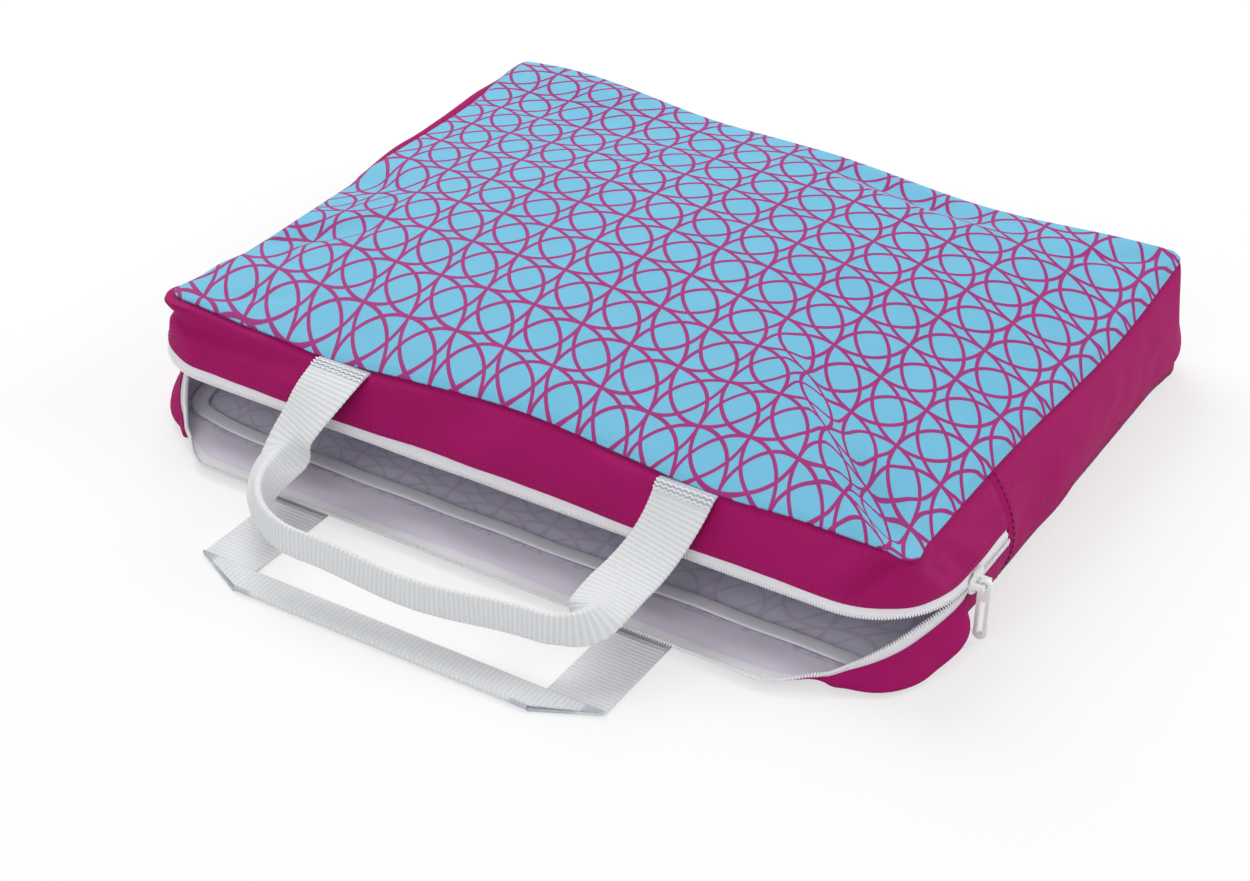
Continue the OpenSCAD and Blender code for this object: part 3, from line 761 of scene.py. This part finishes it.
def lip_surface(shares, corner):
    """The lower lip's outer face at these shares of its width, and its normals.

    The corner says how far its edge turns, and how far its slack lies out beside the slider
    and at the floor."""
    turn, beside_push, low_push = corner
    foot, edge, out, sag = lip_stations(turn)
    rise = edge - foot
    chord = np.linalg.norm(rise, axis=1)
    arch = np.sqrt(np.maximum(0, (lip_width() - chord) * chord * 3 / 8))
    bow = np.minimum(arch, (rise[:, 2] * (1 + sag)) ** 2 / (8 * LEAST_BEND))
    v = np.asarray(shares)[:, None]
    level = foot[None, :, :2] + rise[None, :, :2] * v[..., None]
    beside = smooth((foot[:, 1] + 142) / 27) * smooth((-foot[:, 1] - 105) / 8)
    low = sag / LIP_SAG
    push = beside_push * beside * hump((v - 0.42) / 0.42) + low_push * low * hump((v - 0.25) / 0.3)
    level = level + out[None, :, :2] * (bow[None] * 4 * v * (1 - v) + push)[..., None]
    z = foot[None, :, 2] + rise[None, :, 2] * v ** (1 + sag[None])
    grid = np.concatenate([level, z[..., None]], axis=-1)
    normals = grid_normals(grid)
    slack = np.sin(np.pi * np.clip(v, 0, 1)) * smooth(np.abs(grid[..., 1] - SIDE_SEAM_Y) / 14)
    crumple = 1.3 * soft_noise(grid, 34.0, 5.3) + 0.5 * soft_noise(grid, 15.0, 2.9)
    grid = grid + normals * (slack * crumple)[..., None]
    grid[..., 2] = np.maximum(grid[..., 2], 0.4)
    return grid, grid_normals(grid)


def mirror_grid(grid):
    return grid * np.array([-1, 1, 1])


def add_lower_lip(sign):
    strip_share = (LIP_LEN - LOWER_BAND) / LIP_LEN
    lap_share = strip_share - TAPE_LAP / LIP_LEN
    coil_share = 1 - COIL_HALF / LIP_LEN
    corner = RIGHT_CORNER if sign > 0 else LEFT_CORNER
    strip, strip_n = lip_surface(np.linspace(0, strip_share, STRIP_ROWS), corner)
    tape, tape_n = lip_surface(np.linspace(lap_share, coil_share, TAPE_ROWS), corner)
    tape = tape - tape_n * TAPE_BEHIND
    axis = lip_surface(np.array([coil_share - 0.02, coil_share, coil_share + 0.02]), corner)
    line = axis[0][1] - axis[1][1] * COIL_BEHIND
    across = unit(axis[0][2] - axis[0][0])
    outward = axis[1][1]
    if sign < 0:
        strip, strip_n, tape, tape_n = [mirror_grid(g) for g in (strip, strip_n, tape, tape_n)]
        shift = base_shift(strip[:1])
        strip = strip + shift * np.linspace(1, 1 - strip_share, STRIP_ROWS)[:, None, None]
        tape = tape + shift * np.linspace(1 - lap_share, 1 - coil_share, TAPE_ROWS)[:, None, None]
        line, across, outward = [mirror_grid(g) for g in (line, across, outward)]
        line = line + shift[0] * (1 - coil_share)
    flip = sign < 0
    side = "right" if sign > 0 else "left"
    cloth = shell(f"lower_strip_cloth_{side}", strip, strip_n, SHEET, PLAIN, PLAIN_REVERSE, flip=flip)
    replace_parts(cloth, "lower_zip_strip", f"lower_strip_corner_{side}")
    woven = shell(f"lower_tape_woven_{side}", tape, tape_n, TAPE_T, TAPE, TAPE, flip=flip)
    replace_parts(woven, "lower_zip_tape", f"lower_tape_corner_{side}")
    row = coil(f"lower_coil_{side}", line, outward, across, 0.5)
    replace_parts(row, "lower_zip_teeth", f"lower_teeth_corner_{side}")
    for piece in (cloth, woven, row):
        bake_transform(piece)


# The handles


def webbing(name, middles, normals, along, across):
    """Webbing with ribs across it, from its middle surface and the distances along and across it."""
    rib = (0.5 + 0.5 * np.cos(2 * np.pi * along / RIB_PITCH)) ** 1.5
    edge = np.minimum(across - across[0], across[-1] - across)
    rounding = 0.3 + 0.7 * np.sqrt(1 - (1 - np.clip(edge / 0.9, 0, 1)) ** 2)
    half = WEB_T / 2 * (0.86 + 0.14 * rib)[:, None] * rounding[None]
    lift = normals * half[..., None]
    ring = np.concatenate([middles + lift, (middles - lift)[:, ::-1]], axis=1)
    rings, sides = ring.shape[:2]
    caps = [list(range(sides))[::-1], list((rings - 1) * sides + np.arange(sides))]
    u = np.concatenate([across, across[::-1]]) * MM
    from_end = np.minimum(along, along[-1] - along)
    places = points_of(u, along[:, None] * MM, from_end[:, None] * MM)
    faces = loop_quads(rings, sides).tolist() + caps
    return make_mesh(name, ring.reshape(-1, 3), faces, [WEBBING], sharp=60, cloth=places)


UPPER_ROOT = np.array([ROOT_X, TOP_BACK - wall_y(1) - ROOT_OUT - WEB_T, SEAM_Z + CLOTH / 2])
FOLD_ARC = (WEB_T + FOLD_GAP) / 2 * math.pi / 2
RINGS_PER_RIB = 6

# Steps on a leg of the upper handle and then round its bend, for where its fold starts and ends
LEG_SPAN = 12
BEND_SPAN = 10


def handle_half(bend, radius, first_bow, last_bow, fold_start, fold_end):
    """Middle line of half the upper handle from its seam to its long run, and how far it is folded there.

    The bend is where the leg's line would meet the run's, and the bows are the curve's pulls on the leg."""
    end = np.array(bend) + [0, radius, 0]
    start = UPPER_ROOT - [0, 0, ROOT_SUNK]
    first = start + [0, *first_bow]
    last = end + [0, *last_bow]
    u = np.linspace(0, 1, 80, endpoint=False)[:, None]
    leg = (1 - u) ** 3 * start + 3 * u * (1 - u) ** 2 * first + 3 * u ** 2 * (1 - u) * last + u ** 3 * end
    q = np.linspace(0, 1, 50)
    turn = q * np.pi / 2
    curve = end + radius * points_of(np.cos(turn) - 1, -np.sin(turn), 0)
    tucked = start + [0, 3.6, -0.6]
    step = np.concatenate([[0], LEG_SPAN * u[:, 0], LEG_SPAN + BEND_SPAN * q])
    fold = FULL_FOLD * smooth((step - fold_start) / (fold_end - fold_start))
    return np.concatenate([[tucked], leg, curve]), fold


def eased(values, rounds):
    """A line of values with its kinks evened out, its two ends kept."""
    for _ in range(rounds):
        inner = values[1:-1] / 2 + values[:-2] / 4 + values[2:] / 4
        values = np.concatenate([values[:1], inner, values[-1:]])
    return values


def upper_path():
    """The upper handle's middle line, evenly spaced, with its fold and its ways along, inwards and up."""
    right, right_fold = handle_half((79.2, -216.8, 28.7), 17.5, (-16, -17), (30, -5), 9.0, 19.0)
    left, left_fold = handle_half((94.2, -224.8, 29.8), 44.5, (-28, -7), (11, 1.5), 7.2, 18.5)
    left = left[::-1] * [-1, 1, 1]
    t = np.linspace(0, 1, 92)[1:-1, None]
    run = right[-1] * (1 - t) + left[0] * t + np.sin(np.pi * t) ** 2 * [0, -2.7, -3.0]
    line = np.concatenate([right, run, left])
    fold = np.concatenate([right_fold, np.full(len(run), FULL_FOLD), left_fold[::-1]])
    ribs = round(line_length(line) / RIB_PITCH)
    line, fold = resample(line, ribs * RINGS_PER_RIB + 1, fold[:, None])
    line = eased(line, 60)
    along = unit(np.gradient(line, axis=0))
    side = unit(np.cross(along, UP))
    return line, np.maximum(fold[:, 0], 0.01), along, side, np.cross(side, along)


def folded(across, turn):
    """Place and normal in the webbing's section, whose halves turn down from its middle line."""
    near = np.clip(across, -FOLD_ARC, FOLD_ARC)
    rest = across - near
    slope = near / FOLD_ARC * turn
    radius = FOLD_ARC / turn
    place = [radius * np.sin(slope) + rest * np.cos(turn),
             radius * (np.cos(slope) - 1) - np.abs(rest) * np.sin(turn)]
    return np.stack(place, axis=-1), np.stack([np.sin(slope), np.cos(slope)], axis=-1)


def add_upper_handle():
    line, turn, _, side, up = upper_path()
    half = WEB_W / 2
    outer = np.array([half, half - 0.3, half - 0.9, half - 3, half - 7])
    fold = np.linspace(FOLD_ARC * 1.6, 0, 6)
    across = np.concatenate([-outer, -fold[:-1], fold[::-1], outer[::-1]])
    distance = np.arange(len(line)) * line_length(line) / (len(line) - 1)
    drawn = 1 - 0.006 * (1 - np.cos(2 * np.pi * distance / RIB_PITCH))
    place, normal = folded(across[None] * drawn[:, None], turn[:, None])
    middles = line[:, None] + place[..., :1] * side[:, None] + place[..., 1:] * up[:, None]
    normals = normal[..., :1] * side[:, None] + normal[..., 1:] * up[:, None]
    piece = webbing("upper_webbing", middles, normals, distance, across)
    hang_handle(piece, "upper_handle")


def hang_handle(piece, *nodes):
    """The handle's cloth stays in the seam at its root; the named solids are hidden and the piece's place
    is baked into its mesh.
    """
    if nodes:
        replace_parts(piece, *nodes)
    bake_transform(piece)


def flat_webbing(name, middle, half_width, lengthwise, crosswise):
    """Webbing lying level: its middle line and half its width at each place along it."""
    count = round(line_length(middle) / RIB_PITCH) * RINGS_PER_RIB + 1
    middle, half_width = resample(middle, count, half_width[:, None])
    across = np.array([-1, -0.97, -0.9, -0.5, 0, 0.5, 0.9, 0.97, 1])
    middles = middle[:, None] + across[None, :, None] * half_width[:, None] * np.array(crosswise)
    distance = (middle - middle[0]) @ np.array(lengthwise)
    normals = np.broadcast_to(UP, middles.shape)
    piece = webbing(name, middles, normals, distance, across * half_width.max())
    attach(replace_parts(piece, "lower_handle"), "lower_handle")


def add_lower_handle():
    """The lower handle pressed flat on the floor, its long run folded in half over itself."""
    root_y = HINGE[1]
    far = root_y - LOWER_REACH - WEB_W / 4
    near = far + WEB_W / 2
    outer = ROOT_X + WEB_W / 2
    inner = ROOT_X - WEB_W / 2
    bead = WEB_T * 0.9
    for sign, side in ((1, "right"), (-1, "left")):
        y = np.linspace(root_y, far + 0.5, 120)
        edge = np.where(y < near, inner + (y - far) / (near - far) * WEB_W, outer)
        middle = points_of(sign * (inner + edge) / 2, y, WEB_T / 2)
        flat_webbing(f"lower_webbing_{side}", middle, (edge - inner) / 2, (0, -1, 0), (-1, 0, 0))
    x = np.linspace(outer - 0.5, 0.5 - outer, 400)
    low = far + bead + np.maximum(0, np.abs(x) - inner) / WEB_W * (near - far - bead)
    middle = points_of(x, (low + near) / 2, WEB_T * 1.5)
    flat_webbing("lower_webbing_run", middle, (near - low) / 2, (-1, 0, 0), (0, 1, 0))
    x = np.linspace(inner, -inner, len(x))
    middle = points_of(x, (far + bead + near) / 2, WEB_T / 2)
    half_width = np.full(len(x), (near - far - bead) / 2)
    flat_webbing("lower_webbing_under", middle, half_width, (-1, 0, 0), (0, 1, 0))
    count = round(2 * inner / RIB_PITCH) * RINGS_PER_RIB + 1
    x = np.linspace(inner, -inner, count)
    turn = np.linspace(-0.6 * np.pi, 0.6 * np.pi, 13)
    normals = points_of(0, -np.cos(turn), np.sin(turn))
    section = np.array([0, far + bead + WEB_T * 0.1, WEB_T]) + normals * WEB_T / 2
    middles = x[:, None, None] * np.array([1.0, 0, 0]) + section[None]
    normals = np.broadcast_to(normals, middles.shape)
    piece = webbing("lower_webbing_fold", middles, normals, inner - x, turn * WEB_T / 2)
    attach(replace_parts(piece, "lower_handle"), "lower_handle")


# Stitches

STITCH_PITCH = 3.0


def stitches(name, middles, along, outward, length, radius, material):
    """A row of sewn stitches as small rounded bars."""
    rings = np.array([[-0.5, 0.3], [-0.38, 0.85], [0, 1], [0.38, 0.85], [0.5, 0.3]])
    sides = 6
    turn = np.linspace(0, 2 * np.pi, sides, endpoint=False)
    across = np.cross(along, outward)
    vertices = []
    faces = []
    for k, middle in enumerate(middles):
        start = k * len(rings) * sides
        for place, size in rings:
            circle = np.cos(turn)[:, None] * across[k] + np.sin(turn)[:, None] * outward[k] * 0.7
            vertices.append(middle + along[k] * place * length + circle * size * radius)
        faces.append(loop_quads(len(rings), sides, start))
    return make_mesh(name, np.concatenate(vertices), np.concatenate(faces), [material])


def row_of(line, outward, pitch):
    """Middles, directions and outward ways of stitches spaced along a line."""
    count = int(line_length(line) / pitch)
    points, outs = resample(line, count, outward)
    return points, unit(np.gradient(points, axis=0)), unit(outs)


def add_strip_stitches():
    h = STRIP_LOW + 0.03
    grid, normals = wall_surface(-1, np.array([h - 0.01, h, h + 0.01]))
    middles, along, outs = row_of(grid[1] + normals[1] * 0.1, normals[1], STITCH_PITCH)
    row = stitches("upper_strip_stitches", middles, along, outs, 2.3, 0.28, PLAIN_THREAD)
    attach(row, "case")


def add_side_stitches():
    heights = np.linspace(0.06, 0.97, 40)
    for sign, side in ((1, "right"), (-1, "left")):
        line = points_of(sign * wall_x(heights), SIDE_SEAM_Y + 3.0, wall_z(heights))
        line = line + edge_shift(line) * slack_share(heights)[:, None]
        outs = np.tile([sign * 1.0, 0, 0], (len(heights), 1))
        middles, along, outs = row_of(line + outs * 0.15, outs, STITCH_PITCH)
        row = stitches(f"side_seam_stitches_{side}", middles, along, outs, 2.2, 0.36, DARK_THREAD)
        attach(row, "case")


def add_root_stitches():
    """Close rows of slanting stitches where the upper handle leaves its seam."""
    line, _, along, side, up = upper_path()
    step = line_length(line) / (len(line) - 1)
    across = np.linspace(-0.93, 0.93, 19)[:, None] * WEB_W / 2
    slant = np.where(np.arange(len(across)) % 2, 0.6, -0.6)[:, None]
    for name, start, way in (("right", 0, 1), ("left", len(line) - 1, -1)):
        rows = [start + way * round(away / step) for away in ROOT_ROWS]
        middles = [line[k] + across * side[k] + up[k] * (WEB_T / 2 + 0.15) for k in rows]
        ways = [unit(side[k] + slant * along[k]) for k in rows]
        outs = np.tile(up[rows[1]], (len(rows) * len(across), 1))
        row = stitches(f"root_stitches_{name}", np.concatenate(middles), np.concatenate(ways), outs,
                       2.3, 0.42, WHITE_THREAD)
        hang_handle(row)


# Bindings over the raw seam edges inside


# Places round a panel's binding, and sides of its section
BINDING_PLACES = 240
BINDING_SIDES = 12


def outline(h, margin):
    """The walls' outline at one height, drawn in by this margin, at even distances."""
    r = max(wall_r(h) - margin, 2)
    x = wall_x(h) - margin - r
    y = wall_y(h) - margin - r
    turn = np.linspace(0, np.pi / 2, 12)
    quarter = np.stack([x + r * np.cos(turn), y + r * np.sin(turn)], axis=1)
    ring = np.concatenate([quarter, quarter[::-1] * [-1, 1], -quarter, quarter[::-1] * [1, -1]])
    closed = np.concatenate([ring, ring[:1]])
    points = np.concatenate([closed, np.zeros((len(closed), 1))], axis=1)
    return resample(points, BINDING_PLACES + 1)[0][:-1] + [0, lean(h), 0]


def add_panel_binding(name, node, h, z, up):
    """A folded tape round the raw edge of a panel's seam."""
    line = outline(h, CLOTH + 5.2)
    line = line + edge_shift(line) * h + base_shift(line) * (1 - h)
    along = unit(np.roll(line, -1, axis=0) - np.roll(line, 1, axis=0))
    inward = unit(np.cross(UP, along))
    turn = np.linspace(0, 2 * np.pi, BINDING_SIDES, endpoint=False)
    wave = 0.25 * np.sin(np.arange(len(line)) * 0.7)
    across = 4.0 * np.sign(np.cos(turn)) * np.abs(np.cos(turn)) ** 0.5
    deep = 0.8 * np.sign(np.sin(turn)) * np.abs(np.sin(turn)) ** 0.6
    rings = line[:, None] + inward[:, None] * across[None, :, None]
    rings = rings + UP * (z + up * (deep[None, :] + 0.9 + wave[:, None]))[..., None]
    rings = np.concatenate([rings, rings[:1]])
    u = np.arange(len(rings)) * line_length(line) / len(line) * MM
    places = points_of(u[:, None], across * MM, 0)
    faces = loop_quads(len(rings), BINDING_SIDES)
    piece = make_mesh(name, rings.reshape(-1, 3), faces, [BINDING], cloth=places)
    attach(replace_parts(piece, node), "case")


def add_side_bindings():
    heights = np.linspace(0.08, 0.88, 24)[:, None]
    y = SIDE_SEAM_Y + np.linspace(0.5, 8.5, 6)
    for sign, side in ((1, "right"), (-1, "left")):
        x = sign * (wall_x(heights) - CLOTH - 1.6)
        grid = points_of(x, y, wall_z(heights))
        grid = grid + edge_shift(grid) * slack_share(heights)[..., None]
        normals = grid_normals(grid)
        outward = normals * np.sign(normals[..., :1] * sign)
        flip = bool(normals[0, 0, 0] * sign < 0)
        piece = shell(f"side_binding_{side}", grid, outward, 1.4, BINDING, BINDING, flip=flip)
        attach(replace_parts(piece, f"side_seam_binding_{side}"), "case")


def finish_slider():
    """The slider, its bridge and the pull keep their solids, with softened edges and gloss enamel."""
    for node in ("zip_slider", "slider_bridge", "pull_tab"):
        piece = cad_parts[node]
        piece.data.materials.clear()
        piece.data.materials.append(GLOSS)
        for face in piece.data.polygons:
            face.use_smooth = True
        bevel = piece.modifiers.new("soft_edges", "BEVEL")
        bevel.width = 0.35 * MM
        bevel.segments = 3
        bevel.limit_method = "ANGLE"
        bevel.angle_limit = math.radians(35)
        bevel.harden_normals = True


# The studio


# The photograph's viewpoint: where the camera is, the way back from the object to it, its roll and its lens
CAMERA_PLACE = np.array([497.1, -881.3, 627.1])
CAMERA_BACK = unit(np.array([0.4288, -0.7201, 0.5455]))
CAMERA_ROLL = math.radians(1.14)
CAMERA_LENS = 72.105


def add_camera():
    right = unit(np.cross(UP, CAMERA_BACK))
    up = np.cross(CAMERA_BACK, right)
    camera_x = math.cos(CAMERA_ROLL) * right + math.sin(CAMERA_ROLL) * up
    camera_y = -math.sin(CAMERA_ROLL) * right + math.cos(CAMERA_ROLL) * up
    data = bpy.data.cameras.new("camera")
    data.sensor_fit = "HORIZONTAL"
    data.sensor_width = 36
    data.lens = CAMERA_LENS
    data.clip_start = 0.05
    data.clip_end = 50
    camera = bpy.data.objects.new("camera", data)
    turn = Matrix(np.stack([camera_x, camera_y, CAMERA_BACK], axis=1).tolist()).to_4x4()
    camera.matrix_world = Matrix.Translation((CAMERA_PLACE * MM).tolist()) @ turn
    bpy.context.scene.collection.objects.link(camera)
    bpy.context.scene.camera = camera


def add_floor():
    """A white floor that keeps the object's shadow."""
    size = 4000.0
    level = -0.3
    corners = [(-size, -size, level), (size, -size, level), (size, size, level), (-size, size, level)]
    material = bpy.data.materials.new("floor")
    material.use_nodes = True
    nodes = material.node_tree.nodes
    links = material.node_tree.links
    nodes.clear()
    diffuse = nodes.new("ShaderNodeBsdfDiffuse")
    diffuse.inputs["Color"].default_value = (0.85, 0.85, 0.85, 1)
    glow = nodes.new("ShaderNodeEmission")
    rays = nodes.new("ShaderNodeLightPath")
    share = nodes.new("ShaderNodeMath")
    share.operation = "MULTIPLY"
    share.inputs[1].default_value = 0.6
    links.new(rays.outputs["Is Camera Ray"], share.inputs[0])
    mix = nodes.new("ShaderNodeMixShader")
    links.new(share.outputs[0], mix.inputs[0])
    links.new(diffuse.outputs[0], mix.inputs[1])
    links.new(glow.outputs[0], mix.inputs[2])
    output = nodes.new("ShaderNodeOutputMaterial")
    links.new(mix.outputs[0], output.inputs["Surface"])
    floor = make_mesh("floor", corners, [[0, 1, 2, 3]], [material])


def add_world():
    """White where the camera or a reflection sees it, and soft fill light elsewhere."""
    world = bpy.data.worlds.new("studio")
    bpy.context.scene.world = world
    world.use_nodes = True
    nodes = world.node_tree.nodes
    links = world.node_tree.links
    background = nodes["Background"]
    background.inputs["Color"].default_value = (1, 1, 1, 1)
    rays = nodes.new("ShaderNodeLightPath")
    seen = rays.outputs["Is Camera Ray"]
    for name in ("Is Glossy Ray", "Is Transmission Ray"):
        either = nodes.new("ShaderNodeMath")
        either.operation = "MAXIMUM"
        links.new(seen, either.inputs[0])
        links.new(rays.outputs[name], either.inputs[1])
        seen = either.outputs[0]
    strength = nodes.new("ShaderNodeMapRange")
    strength.inputs["To Min"].default_value = 0.5
    strength.inputs["To Max"].default_value = 1.0
    links.new(seen, strength.inputs["Value"])
    links.new(strength.outputs[0], background.inputs["Strength"])


def add_lamp(name, place, target, size, power):
    data = bpy.data.lights.new(name, "AREA")
    data.shape = "DISK"
    data.size = size
    data.energy = power
    lamp = bpy.data.objects.new(name, data)
    way = Vector(target) - Vector(place)
    lamp.location = place
    lamp.rotation_mode = "QUATERNION"
    lamp.rotation_quaternion = way.to_track_quat("-Z", "Y")
    bpy.context.scene.collection.objects.link(lamp)


def add_studio():
    bpy.context.scene.view_settings.view_transform = "Standard"
    add_camera()
    add_floor()
    add_world()
    add_lamp("key", (-1.0, 0.6, 1.35), (0, 0, 0.03), 1.4, 20)
    add_lamp("front", (0.3, -1.6, 1.0), (0, -0.05, 0.03), 1.6, 10)
    add_lamp("right", (1.5, 1.0, 1.1), (0.1, 0, 0.03), 1.2, 15)


add_studio()
add_print_panel()
add_base_panel()
add_main_gusset()
add_upper_strip()
add_upper_zip()
add_lower_lip(1)
add_lower_lip(-1)
add_upper_handle()
add_lower_handle()
add_strip_stitches()
add_side_stitches()
add_root_stitches()
add_panel_binding("top_binding", "top_seam_binding", 1, SEAM_Z - 1.6, -1)
add_panel_binding("base_binding", "base_seam_binding", 0, CLOTH + 0.6, 1)
add_side_bindings()
finish_slider()
